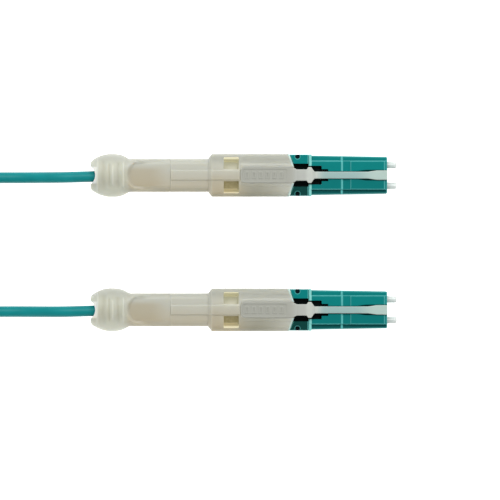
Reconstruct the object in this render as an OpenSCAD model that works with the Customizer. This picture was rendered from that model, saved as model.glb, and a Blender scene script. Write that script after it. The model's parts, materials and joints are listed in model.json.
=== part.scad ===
// Duplex fibre patch cord: two push-pull plugs on one round cable.
// Each plug lies on the flat underside of its boot sleeve, ferrules towards +X, release arm up.
// The origin is on the resting surface, midway between the two plugs.

/* [Plugs] */
// Distance between the centre lines of the two plugs as they lie
plug_spacing = 24.5; // [18:0.5:60]
// Where the plug frame meets the rear housing, ahead of the origin
split_x = 11.8; // [6:0.1:20]

/* [Ferrules] */
// Distance between the two ferrule axes
ferrule_pitch = 3.8; // [3.6:0.05:4]
// Ferrule diameter
ferrule_d = 1.25; // [1:0.01:1.3]
// Ferrule length
ferrule_l = 7.05; // [6:0.05:9]
// How far the ferrule stands out of the frame
ferrule_out = 1.82; // [1:0.01:3]
// Spring travel of a ferrule
ferrule_travel = 0.8; // [0.4:0.1:1]
// Chamfer on the ferrule tip
tip_chamfer = 0.2; // [0.05:0.05:0.3]
// Diameter of the ferrule's root, which is glued into its flange
root_d = 0.9; // [0.7:0.05:0.9]
// Diameter of the flange head
flange_d = 2.16; // [1.9:0.02:2.2]
// Length of the flange head
flange_l = 2.2; // [1.6:0.1:3]
// Height of the two keys that stop the flange head, tip to tip
key_h = 3.2; // [2.8:0.1:4]
// Width of the keys
key_w = 1.2; // [0.8:0.1:1.4]
// Diameter of the flange tail that guides the spring
tail_d = 1.2; // [1:0.05:1.25]
// Length of the flange tail
tail_l = 5.8; // [4.5:0.1:6.2]
// Bore of the flange tail, which the fibre runs through
tail_hole = 0.6; // [0.5:0.05:0.7]
// Wire thickness of the ferrule spring
spring_wire = 0.24; // [0.15:0.01:0.26]
// Number of coils in the ferrule spring
spring_turns = 7; // [4:1:9]

/* [Plug frame] */
// Length of the plug frame
frame_l = 14.33; // [13.5:0.01:18]
// Height of the plug frame
frame_h = 6.4; // [5.4:0.1:6.8]
// Width of the frame behind its nose taper
frame_w_rear = 7.18; // [7:0.01:7.5]
// Width of the frame at its front face
frame_w_front = 6.7; // [6.6:0.01:7.5]
// Width of the raised rim at the back of the frame
rim_w = 7.7; // [7.2:0.05:8.5]
// Length of the raised rim
rim_l = 0.55; // [0.3:0.05:1]
// Width of the raised centre of the frame, between its two side strips
centre_w = 5.3; // [5:0.1:6]
// Drop from the raised centre to the side strips
strip_drop = 0.6; // [0.2:0.1:1]
// Height of the panel on each rail over the surface round it
panel_rise = 0.2; // [0.1:0.05:0.4]

/* [Rear housing] */
// Width of the part of the rear housing that shows
housing_w = 7.5; // [6.8:0.05:8]
// Height of the part of the rear housing that shows
housing_h = 7.6; // [6.6:0.1:8.2]
// Length of the tongue that plugs into the frame
tongue_l = 2.2; // [1.5:0.1:2.6]
// Height of the tongue
tongue_h = 3.4; // [2.6:0.1:3.6]
// Length of the wall that holds the back post
post_wall = 2; // [1.2:0.1:2.5]
// Diameter of the round marks at the rear corners
mark_d = 1; // [0.6:0.1:1.2]

/* [Pull boot] */
// Width of the sleeve
sleeve_w = 7.75; // [7.2:0.05:9.5]
// Height of the sleeve
sleeve_h = 8.6; // [8.2:0.1:10.5]
// Length of the sleeve along its sides
sleeve_l = 14.5; // [13:0.1:18]
// Wall of the sleeve
sleeve_wall = 0.62; // [0.5:0.01:0.75]
// How far the middle of the sleeve's front edge stands ahead of its sides
sleeve_point = 0.9; // [0.5:0.1:1.2]
// Width of the neck
neck_w = 6; // [5:0.1:7]
// Height of the neck next to the sleeve
neck_h = 7; // [6:0.1:8]
// Height of the scooped neck next to the ball
scoop_h = 6.2; // [5:0.1:7]
// Length of the full-height neck
neck_l = 7.1; // [5:0.1:10]
// Length of the scooped neck
scoop_l = 7.9; // [5:0.1:10]
// Largest diameter of the ball grip
ball_d = 7.86; // [7:0.02:8.6]
// Length of the ball grip
ball_l = 6.7; // [5:0.1:9]
// Width of the notch in the back of the ball
notch_w = 3.8; // [2.6:0.1:4.4]
// Depth of the notch
notch_l = 0.96; // [0.5:0.02:1.4]
// Width of the raised rib along the neck
rib_w = 1.76; // [1:0.02:2]
// Height of the rib over what it runs along
rib_rise = 0.2; // [0.1:0.05:0.3]
// Length of each window in the sleeve
window_l = 2.75; // [1.5:0.05:3]
// Distance of the windows from the back of the sleeve
window_back = 2.58; // [2:0.02:3]
// Bar of sleeve left between the two windows
window_bar = 2.2; // [1.8:0.1:3]
// Travel of the boot when it is pulled
boot_travel = 1.8; // [1:0.1:1.9]

/* [Release arm] */
// Width of the blank label plate
plate_w = 2.8; // [2.2:0.1:3.2]
// Bar of sleeve left between the windows and the label plate
plate_bar = 0.37; // [0.3:0.01:1]
// Thickness of the label plate
plate_t = 0.7; // [0.5:0.05:0.9]
// Height of the label plate's face over the sleeve
plate_rise = 0.2; // [0.2:0.05:0.4]
// Width of the arm where it leaves the sleeve
arm_w = 2.08; // [1.6:0.02:2.4]
// Width of the cross lug
lug_w = 2.9; // [2.4:0.1:3.2]
// Length of the cross lug
lug_l = 0.9; // [0.6:0.1:1.2]
// Width of the thin spine
spine_w = 1.28; // [1:0.02:1.5]
// Width of the spine's front end
spine_end_w = 1.74; // [1.5:0.02:1.9]
// Length of the wide front end with its taper
spine_end_l = 3.5; // [2.5:0.1:4]
// Height of the spine
spine_h = 1.5; // [1:0.1:1.7]

/* [Return spring] */
// Outer diameter of the spring that returns the boot
return_d = 1.4; // [1.1:0.05:1.5]
// Wire thickness of that spring
return_wire = 0.2; // [0.15:0.01:0.25]
// Number of coils in that spring
return_turns = 6; // [4:1:8]

/* [Crimp] */
// Outer diameter of the back post
post_d = 3.2; // [2.8:0.1:3.6]
// Bore of the back post
post_bore = 1.8; // [1.4:0.1:2.2]
// Diameter of the collar on the post
collar_d = 4.6; // [4.2:0.1:5]
// Thickness of the collar
collar_t = 0.8; // [0.5:0.1:1]
// Thickness of the yarn layer
yarn_t = 0.42; // [0.3:0.02:0.5]
// Wall of the crimp ring
crimp_wall = 0.62; // [0.4:0.02:0.65]
// Length of the crimp ring's tail on the cable
crimp_tail = 3.5; // [2:0.1:4]

/* [Cable] */
// Cable diameter
cable_d = 2; // [1.6:0.1:2.2]
// Diameter of one coated fibre
fibre_d = 0.25; // [0.2:0.01:0.4]
// Distance between the two fibres in the cable
fibre_pair = 0.7; // [0.5:0.05:1]
// Distance of the coil's centre behind the origin
coil_x = 71; // [70:1:90]
// Radius of the coil's innermost turn
coil_inner = 11.4; // [10:0.05:14]
// Radius of the coil's outermost strand
coil_outer = 22.75; // [18:0.05:26]
// Layers of cable in the coil
coil_layers = 4; // [2:1:6]
// Thickness of a coil tie
tie_t = 0.45; // [0.3:0.05:0.8]
// Sector of the coil that a tie covers, in degrees
tie_sector = 28; // [15:1:40]

/* [Clearances] */
// Gap round pieces that slide
slide_gap = 0.12; // [0.1:0.01:0.2]
// Gap between pieces that are pressed or glued together
snug = 0.02; // [0.01:0.01:0.04]
// Gap round the cable in the boot
cable_gap = 0.25; // [0.2:0.01:0.4]
// Gap between the crimp ring and the boot around it
crimp_gap = 0.2; // [0.15:0.05:0.4]
// Radial room for a mating sleeve round each ferrule
ferrule_room = 0.545; // [0.53:0.005:0.56]

/* [Hidden] */
$fn = 48;
eps = 0.01;
left = 1;
right = -1;

// heights
axis_z = sleeve_h / 2;
frame_top = axis_z + frame_h / 2;
frame_bottom = axis_z - frame_h / 2;
housing_top = axis_z + housing_h / 2;
hollow_w = sleeve_w - 2 * sleeve_wall;
hollow_h = sleeve_h - 2 * sleeve_wall;
core_w = hollow_w - 2 * slide_gap;
core_h = hollow_h - 2 * slide_gap;

// stations along the plug, front to back
nose_x = split_x + frame_l;
tip_x = nose_x + ferrule_out;
ferrule_back = tip_x - ferrule_l;
tongue_x = split_x + tongue_l;
tail_back = tongue_x + 0.6;
head_back = tail_back + tail_l;
head_front = head_back + flange_l;
stop_x = head_front + snug;
corner_x = split_x - 3.5;
edge_gap = 0.1;
core_back = corner_x - 7.7;
sleeve_back = corner_x - sleeve_l;
window_x = sleeve_back + window_back;
plate_back = window_x + window_l + plate_bar;
plate_bottom = sleeve_h + plate_rise - plate_t;
neck_back = sleeve_back - neck_l;
scoop_back = neck_back - scoop_l;
ball_back = scoop_back - ball_l;
floor_wall = 1.2;

// ferrule chamber in the frame
chamber_d = flange_d + 2 * slide_gap;
room_d = ferrule_d + 2 * ferrule_room;
key_gap = 0.15;

// slots that the release arm runs in
channel_floor = frame_top - 1.1;
channel_gap = 0.1;
spine_bottom = channel_floor + channel_gap;
spine_front_back = nose_x - spine_end_l;
pocket_floor = axis_z + 1.5;
pocket_w = 4.2;

// return spring, under the arm
return_z = pocket_floor + return_d / 2 + 0.1;
return_back = corner_x - 3.2;
return_front = split_x - 2.2;

// crimp, back to front
collar_back = core_back - snug - collar_t;
shoulder_back = sleeve_back + floor_wall + crimp_gap;
shoulder_front = shoulder_back + crimp_wall;
post_back = shoulder_front + snug;
yarn_id = post_d + 2 * snug;
yarn_od = yarn_id + 2 * yarn_t;
crimp_id = yarn_od + 2 * snug;
crimp_od = crimp_id + 2 * crimp_wall;
tail_id = cable_d + 2 * snug;
tail_od = tail_id + 2 * 0.58;

// cable in the boot
cable_bore = cable_d + 2 * cable_gap;
tail_bore = tail_od + 2 * crimp_gap;

// route of the free cable from behind each boot to the coil, in round numbers
route_a = [
    [-31, 12.25, 4.3], [-33, 12.25, 4.1], [-35, 12.25, 3.5],
    [-37, 12.25, 2.65], [-39, 12.25, 1.8], [-41, 12.3, 1.2], [-43, 12.4, 1],
    [-45, 12.6, 1], [-49, 13.5, 1], [-53, 14.9, 1.1], [-56, 16.2, 1.3]
];
route_b = [
    [-31, -12.25, 4.3], [-33, -12.25, 4.1], [-35, -12.25, 3.5],
    [-37, -12.25, 2.65], [-39, -12.25, 1.8], [-41, -12.3, 1.2], [-43, -12.4, 1],
    [-45, -12.7, 1], [-49, -13.9, 1], [-53, -15.6, 1.1], [-56, -17.1, 1.3]
];
tube_sides = 8;
fibre_sides = 8;
coil_lift = tie_t + 0.05;
coil_h = coil_layers * cable_d * 1.025;
coil_corner = 1;

// ---- shapes used by more than one piece ----

// a box from x0 to x1, centred across the plug
module block(x0, x1, w, z0, z1) {
    translate([x0, -w / 2, z0]) cube([x1 - x0, w, z1 - z0]);
}

// sweeps a drawing of the plug's cross-section from x0 to x1
module along(x0, x1) {
    translate([x0, 0, axis_z]) rotate([90, 0, 90]) linear_extrude(x1 - x0) children();
}

module round_bar(x0, x1, d) {
    along(x0, x1) circle(d = d);
}

module tube(x0, x1, od, id) {
    along(x0, x1) difference() {
        circle(d = od);
        circle(d = id);
    }
}

// rectangle with round corners, made of true arcs
module round_rect(w, h, r) {
    square([w - 2 * r, h], center = true);
    square([w, h - 2 * r], center = true);
    for (x = [-1, 1], y = [-1, 1])
        translate([x * (w / 2 - r), y * (h / 2 - r)]) circle(r = r);
}

// tapering slab seen from above, from width w0 at x0 to w1 at x1
module slab(x0, x1, w0, w1, z0, z1) {
    translate([0, 0, z0]) linear_extrude(z1 - z0)
        polygon([[x0, -w0 / 2], [x1, -w1 / 2], [x1, w1 / 2], [x0, w0 / 2]]);
}

// the plan of everything behind the sleeve's slanted front edge, moved forward by gap
module behind_edge(gap) {
    half = sleeve_w / 2 + 1;
    point = corner_x + sleeve_point + gap;
    side = corner_x + gap;
    translate([0, 0, -1]) linear_extrude(sleeve_h + 2)
        polygon([
            [ball_back - 1, -half], [side, -half], [side, -sleeve_w / 2], [point, -plate_w / 2],
            [point, plate_w / 2], [side, sleeve_w / 2], [side, half], [ball_back - 1, half]
        ]);
}

function unit(v) = v / norm(v);
function heading(p, i) = unit(p[min(i + 1, len(p) - 1)] - p[max(i - 1, 0)]);

// a round solid of radius r swept through the points p, which never run along the direction up
module sweep(p, r, sides, up = [0, 0, 1]) {
    last = len(p) - 1;
    rings = [
        for (i = [0 : last])
            let (d = heading(p, i), u = unit(cross(up, d)), v = cross(d, u))
            for (k = [0 : sides - 1])
                p[i] + r * (cos(360 * k / sides) * u + sin(360 * k / sides) * v)
    ];
    skin = [
        for (i = [0 : last - 1], k = [0 : sides - 1])
            let (a = i * sides + k, b = i * sides + (k + 1) % sides)
            [a, a + sides, b + sides, b]
    ];
    back = [for (k = [0 : sides - 1]) k];
    front = [for (k = [sides - 1 : -1 : 0]) last * sides + k];
    polyhedron(points = rings, faces = concat(skin, [back, front]));
}

// points of a spring that winds along X
function coil_points(x0, x1, r, z, turns, steps) = [
    for (i = [0 : turns * steps])
        [x0 + (x1 - x0) * i / (turns * steps), r * cos(360 * i / steps), z + r * sin(360 * i / steps)]
];

// ---- the pieces of one plug ----

module ferrule(side) {
    color("whitesmoke") translate([0, side * ferrule_pitch / 2, 0]) {
        shoulder = head_front + snug;
        round_bar(ferrule_back, shoulder + eps, root_d);
        round_bar(shoulder, tip_x - tip_chamfer, ferrule_d);
        translate([tip_x - tip_chamfer, 0, axis_z]) rotate([0, 90, 0])
            cylinder(h = tip_chamfer, d1 = ferrule_d, d2 = ferrule_d - 2 * tip_chamfer);
    }
}

module flange(side) {
    color("silver") translate([0, side * ferrule_pitch / 2, 0]) difference() {
        union() {
            round_bar(tail_back, head_back + eps, tail_d);
            round_bar(head_back, head_front, flange_d);
            block(head_back, head_front, key_w, axis_z - key_h / 2, axis_z + key_h / 2);
        }
        round_bar(ferrule_back - snug, head_front + eps, root_d + 2 * snug);
        round_bar(tail_back - eps, ferrule_back, tail_hole);
    }
}

module ferrule_spring(side) {
    r = (chamber_d + tail_d) / 4;
    half_wire = spring_wire / 2;
    color("gainsboro") translate([0, side * ferrule_pitch / 2, 0])
        sweep(
            coil_points(tongue_x + half_wire + snug, head_back - half_wire - snug, r, axis_z, spring_turns, 10),
            half_wire, 6, [1, 0, 0]
        );
}

// from the end of the cable, through the post, out to its ferrule
module fibre(side) {
    start = side * fibre_pair / 2;
    finish = side * ferrule_pitch / 2;
    spread_back = core_back + post_wall + 2;
    spread_front = tongue_x - tongue_l - 0.6;
    end_x = tail_back + 2 * ferrule_travel;
    steps = 10;
    color("aquamarine") sweep(
        concat(
            [[post_back, start, axis_z], [core_back, start, axis_z]],
            [
                for (i = [0 : steps])
                    [
                        spread_back + (spread_front - spread_back) * i / steps,
                        start + (finish - start) * (1 - cos(180 * i / steps)) / 2,
                        axis_z
                    ]
            ],
            [[end_x, finish, axis_z]]
        ),
        fibre_d / 2, fibre_sides
    );
}

// the room that the release arm moves in, cut in the frame
module arm_room() {
    top = frame_top + 2;
    wide_back = spine_front_back - boot_travel - 0.2;
    block(split_x - eps, split_x + 2.4, lug_w + 0.5, pocket_floor, top);
    block(split_x - eps, split_x + 3.6, lug_w - 0.7, pocket_floor, top);
    block(split_x - eps, nose_x + 1, spine_w + 2 * channel_gap, channel_floor, top);
    block(wide_back, nose_x + 1, spine_end_w + 2 * channel_gap, channel_floor, top);
}

module plug_frame() {
    rim_front = split_x + rim_l;
    step_x = split_x + 6.1;
    panel_back = split_x + 7.6;
    panel_front = nose_x - 0.45;
    color("teal") difference() {
        union() {
            slab(split_x, nose_x, frame_w_rear, frame_w_front, frame_bottom, frame_top - strip_drop);
            block(split_x, step_x, centre_w, axis_z, frame_top + panel_rise / 2);
            block(split_x, nose_x, centre_w, axis_z, frame_top - panel_rise / 2);
            block(panel_back, panel_front, centre_w, axis_z, frame_top + panel_rise / 2);
            block(split_x, rim_front, rim_w, frame_bottom, frame_top);
        }
        arm_room();
        along(split_x - eps, tongue_x)
            square([ferrule_pitch + 2.2 + 2 * snug, tongue_h + 2 * snug], center = true);
        for (side = [left, right]) translate([0, side * ferrule_pitch / 2, 0]) {
            round_bar(tongue_x - eps, stop_x, chamber_d);
            block(
                tongue_x - eps, stop_x, key_w + 2 * key_gap,
                axis_z - key_h / 2 - key_gap, axis_z + key_h / 2 + key_gap
            );
            round_bar(stop_x - eps, nose_x + 1, room_d);
        }
    }
}

module rear_housing() {
    chamber_back = core_back + post_wall;
    color("darkcyan") difference() {
        union() {
            difference() {
                block(corner_x, split_x - snug, housing_w, axis_z - housing_h / 2, housing_top);
                behind_edge(edge_gap);
            }
            along(core_back, corner_x + sleeve_point + edge_gap + eps) round_rect(core_w, core_h, 0.4);
            along(corner_x + sleeve_point, tongue_x - snug)
                square([ferrule_pitch + 2.2, tongue_h], center = true);
        }
        // the arm's pocket, open to the top, and the narrower bed of its spring
        block(corner_x - boot_travel - slide_gap, split_x + eps, pocket_w, pocket_floor, sleeve_h + 1);
        block(return_back, corner_x + 1, return_d + 0.3, pocket_floor, sleeve_h + 1);
        // the chamber in which the fibres spread
        block(chamber_back, split_x - 1.4, ferrule_pitch + 1.6, axis_z - 1.2, axis_z + 1.2);
        round_bar(core_back - eps, chamber_back + eps, post_d + 2 * snug);
        for (side = [left, right]) {
            translate([0, side * ferrule_pitch / 2, 0])
                round_bar(split_x - 1.4 - eps, tongue_x + eps, tail_d + 2 * slide_gap);
            translate([split_x - 2, side * (housing_w / 2 - 0.3), housing_top - 1.2])
                cylinder(h = 2, d = mark_d);
        }
    }
}

module back_post() {
    color("lightgray") difference() {
        union() {
            round_bar(post_back, core_back + post_wall, post_d);
            round_bar(collar_back, core_back - snug, collar_d);
        }
        round_bar(post_back - eps, core_back + post_wall + eps, post_bore);
    }
}

module aramid_yarn() {
    color("khaki") tube(post_back + 0.1, collar_back - snug, yarn_od, yarn_id);
}

module crimp_ring() {
    color("darkkhaki") {
        tube(shoulder_front, collar_back - snug, crimp_od, crimp_id);
        tube(shoulder_back, shoulder_front, crimp_od, tail_id);
        tube(shoulder_back - crimp_tail, shoulder_back, tail_od, tail_id);
    }
}

// half width of the ball grip at t, which runs from 0 at its back to 1 where it meets the neck
function ball_r(t) = let (swell = 0.5 + (t - 0.52) * (t < 0.52 ? 0.96 : 1.04))
    neck_w / 2 - 0.25 + (ball_d / 2 - neck_w / 2 + 0.25) * sqrt(max(0, 1 - pow(2 * swell - 1, 2)));

module pull_boot() {
    ball_steps = 16;
    neck_bottom = axis_z - neck_h / 2;
    color("beige") difference() {
        union() {
            along(sleeve_back, corner_x + sleeve_point) round_rect(sleeve_w, sleeve_h, 0.9);
            along(neck_back, sleeve_back + eps) round_rect(neck_w, neck_h, 2.2);
            along(scoop_back - 0.6, neck_back + eps) round_rect(neck_w, scoop_h, 2.6);
            translate([ball_back, 0, axis_z]) rotate([0, 90, 0]) rotate_extrude()
                polygon(concat(
                    [[0, 0]],
                    [for (i = [0 : ball_steps]) [ball_r(i / ball_steps), ball_l * i / ball_steps]],
                    [[0, ball_l]]
                ));
            block(neck_back, sleeve_back + eps, rib_w, neck_bottom + 1, neck_bottom + neck_h + rib_rise);
            block(sleeve_back, window_x + window_l, rib_w, sleeve_h - 1, sleeve_h + rib_rise);
        }
        // everything ahead of the slanted front edge
        difference() {
            block(corner_x, corner_x + 2, sleeve_w + 1, -1, sleeve_h + 1);
            behind_edge(0);
        }
        along(sleeve_back + floor_wall, corner_x + 2) round_rect(hollow_w, hollow_h, 0.4);
        round_bar(sleeve_back - crimp_tail, sleeve_back + floor_wall + eps, tail_bore);
        round_bar(ball_back - 1, sleeve_back, cable_bore);
        block(ball_back - 1, ball_back + notch_l, notch_w, -1, sleeve_h + 1);
        for (side = [left, right]) {
            inner = window_bar / 2;
            outer = hollow_w / 2;
            translate([window_x, side > 0 ? inner : -outer, sleeve_h - 2])
                cube([window_l, outer - inner, 3]);
        }
        plate_bed();
    }
}

// the slot in the top of the sleeve that holds the label plate
module plate_bed() {
    block(plate_back - snug, corner_x + 2, plate_w + 2 * snug, plate_bottom - snug, sleeve_h + 1);
}

module release_arm() {
    front = corner_x + sleeve_point;
    lug_back = split_x - 0.2;
    lug_front = lug_back + lug_l;
    taper = 1.6;
    color("honeydew") {
        block(plate_back, front + eps, plate_w, plate_bottom, plate_bottom + plate_t);
        slab(front, front + 0.5, plate_w, arm_w, frame_top + 0.05, sleeve_h);
        block(front + 0.4, lug_back + eps, arm_w, frame_top + 0.05, sleeve_h);
        block(lug_back, lug_front, lug_w, frame_top + 0.05, sleeve_h);
        block(lug_front - eps, spine_front_back + eps, spine_w, spine_bottom, spine_bottom + spine_h);
        slab(
            spine_front_back, spine_front_back + taper, spine_w, spine_end_w,
            spine_bottom, spine_bottom + spine_h
        );
        block(spine_front_back + taper - eps, nose_x, spine_end_w, spine_bottom, spine_bottom + spine_h);
        // the foot that the return spring pushes on
        block(return_front + snug, return_front + 0.8, return_d - 0.3, pocket_floor + 0.15, frame_top + 0.1);
    }
}

module return_spring() {
    half_wire = return_wire / 2;
    color("gainsboro") sweep(
        coil_points(
            return_back + half_wire + snug, return_front - half_wire, return_d / 2 - half_wire,
            return_z, return_turns, 10
        ),
        half_wire, 6, [1, 0, 0]
    );
}

// ---- the cord ----

// the cable on one side, straight from its crimp through the boot and then along its route
module cord_tube(side, route) {
    rings = 5;
    boot_end = ball_back + notch_l;
    straight = [
        for (i = [0 : rings - 1])
            [post_back + (boot_end - post_back) * i / (rings - 1), side * plug_spacing / 2, axis_z]
    ];
    color("lightseagreen") sweep(concat(straight, route), cable_d / 2, tube_sides);
}

// the cross-section of the coil, grown by more all round
module coil_section(more) {
    w = coil_outer - coil_inner + cable_d + 2 * more;
    translate([(coil_outer + coil_inner) / 2, coil_lift + coil_h / 2])
        round_rect(w, coil_h + 2 * more, coil_corner + more);
}

module cord_coil() {
    color("lightseagreen") translate([-coil_x, 0, 0]) rotate_extrude($fn = 96) coil_section(0);
}

module coil_tie(angle) {
    gap = 0.03;
    color("dimgray") translate([-coil_x, 0, 0]) rotate(angle - tie_sector / 2)
        rotate_extrude(angle = tie_sector, $fn = 96) difference() {
            coil_section(tie_t + gap);
            coil_section(gap);
        }
}

// ---- placing the pieces ----

module plug_a() { translate([0, plug_spacing / 2, 0]) children(); }
module plug_b() { translate([0, -plug_spacing / 2, 0]) children(); }

plug_a() ferrule(left);  // ferrule_left_a
plug_a() ferrule(right);  // ferrule_right_a
plug_a() flange(left);  // flange_left_a
plug_a() flange(right);  // flange_right_a
plug_a() ferrule_spring(left);  // ferrule_spring_left_a
plug_a() ferrule_spring(right);  // ferrule_spring_right_a
plug_a() fibre(left);  // fibre_left_a
plug_a() fibre(right);  // fibre_right_a
plug_a() plug_frame();  // plug_frame_a
plug_a() rear_housing();  // rear_housing_a
plug_a() back_post();  // back_post_a
plug_a() aramid_yarn();  // aramid_yarn_a
plug_a() crimp_ring();  // crimp_ring_a
plug_a() pull_boot();  // pull_boot_a
plug_a() release_arm();  // release_arm_a
plug_a() return_spring();  // return_spring_a
plug_b() ferrule(left);  // ferrule_left_b
plug_b() ferrule(right);  // ferrule_right_b
plug_b() flange(left);  // flange_left_b
plug_b() flange(right);  // flange_right_b
plug_b() ferrule_spring(left);  // ferrule_spring_left_b
plug_b() ferrule_spring(right);  // ferrule_spring_right_b
plug_b() fibre(left);  // fibre_left_b
plug_b() fibre(right);  // fibre_right_b
plug_b() plug_frame();  // plug_frame_b
plug_b() rear_housing();  // rear_housing_b
plug_b() back_post();  // back_post_b
plug_b() aramid_yarn();  // aramid_yarn_b
plug_b() crimp_ring();  // crimp_ring_b
plug_b() pull_boot();  // pull_boot_b
plug_b() release_arm();  // release_arm_b
plug_b() return_spring();  // return_spring_b
cord_tube(left, route_a);  // cord_tube_a
cord_tube(right, route_b);  // cord_tube_b
cord_coil();
coil_tie(0);  // coil_tie_front
coil_tie(180);  // coil_tie_back
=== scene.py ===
import json
import math

import bpy
import numpy as np
from mathutils import Matrix, Vector


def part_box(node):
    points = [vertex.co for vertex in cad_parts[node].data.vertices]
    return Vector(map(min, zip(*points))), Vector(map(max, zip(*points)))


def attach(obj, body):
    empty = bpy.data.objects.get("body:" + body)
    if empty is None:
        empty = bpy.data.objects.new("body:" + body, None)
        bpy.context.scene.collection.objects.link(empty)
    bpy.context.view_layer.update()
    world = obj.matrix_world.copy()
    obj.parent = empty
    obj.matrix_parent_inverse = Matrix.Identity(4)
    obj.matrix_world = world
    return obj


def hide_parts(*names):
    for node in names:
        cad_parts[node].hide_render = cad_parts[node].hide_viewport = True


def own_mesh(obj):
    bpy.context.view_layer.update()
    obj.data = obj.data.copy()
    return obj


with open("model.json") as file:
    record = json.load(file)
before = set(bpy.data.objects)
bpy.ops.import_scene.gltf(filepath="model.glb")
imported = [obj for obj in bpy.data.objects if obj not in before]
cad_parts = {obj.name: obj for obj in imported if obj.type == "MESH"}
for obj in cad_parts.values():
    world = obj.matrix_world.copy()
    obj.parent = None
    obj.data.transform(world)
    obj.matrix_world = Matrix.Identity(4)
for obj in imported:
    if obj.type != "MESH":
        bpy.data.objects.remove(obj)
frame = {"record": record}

bpy.context.view_layer.update()
MM = 0.001
PLUGS = {"a": 1, "b": -1}
SIDES = {"left": 1, "right": -1}
SHELLS = "cord_and_shells"


def place(node):
    """Lowest and highest corner of a CAD node, in millimetres."""
    low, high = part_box(node)
    return low / MM, high / MM


def ends(node):
    """The back and the front of a CAD node along x, in millimetres."""
    low, high = place(node)
    return low[0], high[0]


def middle(node, axis):
    """The middle of a CAD node along y (axis 1) or z (axis 2), in millimetres."""
    low, high = place(node)
    return (low[axis] + high[axis]) / 2


def smooth(t, low=0.0, high=1.0):
    """A soft step from 0 at low to 1 at high; low may be the larger."""
    t = min(max((t - low) / (high - low), 0), 1)
    return t * t * (3 - 2 * t)


# Measures that several pieces share, in millimetres: x along the plug, y across it, z up from the table.
# The plug's two halves meet at SPLIT_X. Along the boot come the ball, the scoop in the neck, the step at
# the scoop's end, the sleeve's shoulder, the windows, the label plate and the slanted front corners.
PLUG_Y = middle("pull_boot_a", 1)
AXIS_Z = middle("ferrule_left_a", 2)
HALF_PITCH = middle("ferrule_left_a", 1) - PLUG_Y
SPLIT_X, NOSE_X = ends("plug_frame_a")
BOOT_BACK, BOOT_FRONT = ends("pull_boot_a")
SNUG = 0.02
SLEEVE_H = 2 * AXIS_Z
SLEEVE_W = 7.75
WALL = 0.62
PLATE_W = 2.8
BALL_MID = BOOT_BACK + 3.6
SCOOP_X = BOOT_BACK + 6.6
STEP_X = BOOT_BACK + 14.6
SHOULDER_X = BOOT_BACK + 21.7
WINDOW_X = SHOULDER_X + 2.58
WINDOW_L = 2.75
PLATE_BACK = WINDOW_X + WINDOW_L + 0.37
CORNER_X = BOOT_FRONT - 0.9
EDGE_SLANT = (BOOT_FRONT - CORNER_X) / ((SLEEVE_W - PLATE_W) / 2)

COLLAR_HALF_H = 3.8
COLLAR_TOP = AXIS_Z + COLLAR_HALF_H

# the round marks on the collar: how far behind SPLIT_X and how far out from the middle
MARK_BACK, MARK_OUT = 2.0, 3.39

# along the aqua frame, from SPLIT_X: the rim, the ridge across the strips and the break in the rails
RIM_L = 0.55
RIDGE_BACK, RIDGE_FRONT = 5.8, 6.2
BREAK_BACK, BREAK_FRONT = 6.1, 7.6

# the crests and furrows across the grip: place, half length, half width, height
GRIP = [
    (BALL_MID - 2.3, 3.1, 0.22, 0.15), (BALL_MID - 1.2, 2.7, 0.45, -0.13),
    (BALL_MID - 0.15, 2.1, 0.2, -0.12), (BALL_MID + 0.5, 1.8, 0.22, 0.13),
    (BALL_MID + 1.45, 2.3, 0.35, -0.15), (BALL_MID + 2.45, 2.3, 0.2, 0.13),
]
# how softly each of them ends
GRIP_FADE = 0.35


# ---------------------------------------------------------------- camera

LENS = 400
SENSOR = 36
VIEW_WIDTH = 91.6
VIEW_CENTRE = (1.16, -1.36)


def make_camera():
    """Looks straight down on the two plugs from far off."""
    camera = bpy.data.objects.new("camera", bpy.data.cameras.new("camera"))
    bpy.context.scene.collection.objects.link(camera)
    camera.data.lens = LENS
    camera.data.sensor_width = SENSOR
    height = VIEW_WIDTH * LENS / SENSOR
    camera.location = Vector((VIEW_CENTRE[0], VIEW_CENTRE[1], height)) * MM
    camera.data.clip_start = 0.01
    camera.data.clip_end = 10
    bpy.context.scene.camera = camera


make_camera()


# ---------------------------------------------------------------- the cord

CABLE_D = 2.0
COIL_CENTRE = (-71.0, 0.0)
COIL_OUTER = 20.7
COIL_PITCH = 2.05
COIL_LAYERS = 4
LAYER_TURNS = 4.5
COIL_LIFT = 0.5
POINTS_A_TURN = 20
CABLE_SAG = 0.2

ROUTE_A = [
    (-31, 11.93, 4.3), (-33, 11.89, 4.1), (-35, 11.88, 3.5), (-37, 11.88, 2.65), (-39, 11.88, 1.8),
    (-41, 11.88, 1.2), (-44, 11.88, 1), (-47, 11.9, 1), (-50, 12.5, 1), (-53, 13.95, 1.1), (-56, 15.75, 1.3),
]
ROUTE_B = [
    (-31, -12.57, 4.3), (-33, -12.61, 4.1), (-35, -12.62, 3.5), (-37, -12.62, 2.65), (-39, -12.62, 1.8),
    (-41, -12.62, 1.2), (-44, -12.62, 1), (-47, -12.64, 1), (-50, -13.3, 1), (-53, -14.95, 1.1),
    (-56, -17.1, 1.3),
]
INTO_COIL_A = [(-60, 18.1, 1.45), (-64, 19.7, 1.5), (-68, 20.5, 1.5)]
INTO_COIL_B = [(-60, -19.9, 1.45), (-64, -21.65, 1.5), (-68, -22.55, 1.5)]


def straight_run(plug):
    """The cable inside one boot, from its crimp to the back of the ball, where it has sagged to one side."""
    start = ends(f"cord_tube_{plug}")[1]
    end = ends(f"pull_boot_{plug}")[0]
    count = 6
    points = []
    for i in range(count):
        t = i / (count - 1)
        points.append((start + (end - start) * t, PLUGS[plug] * PLUG_Y - CABLE_SAG * t * t, AXIS_Z))
    return points


def on_coil(r, angle, z):
    """A point of the coil, at a radius and an angle in degrees about its middle."""
    a = math.radians(angle)
    return COIL_CENTRE[0] + r * math.cos(a), COIL_CENTRE[1] + r * math.sin(a), z


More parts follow.
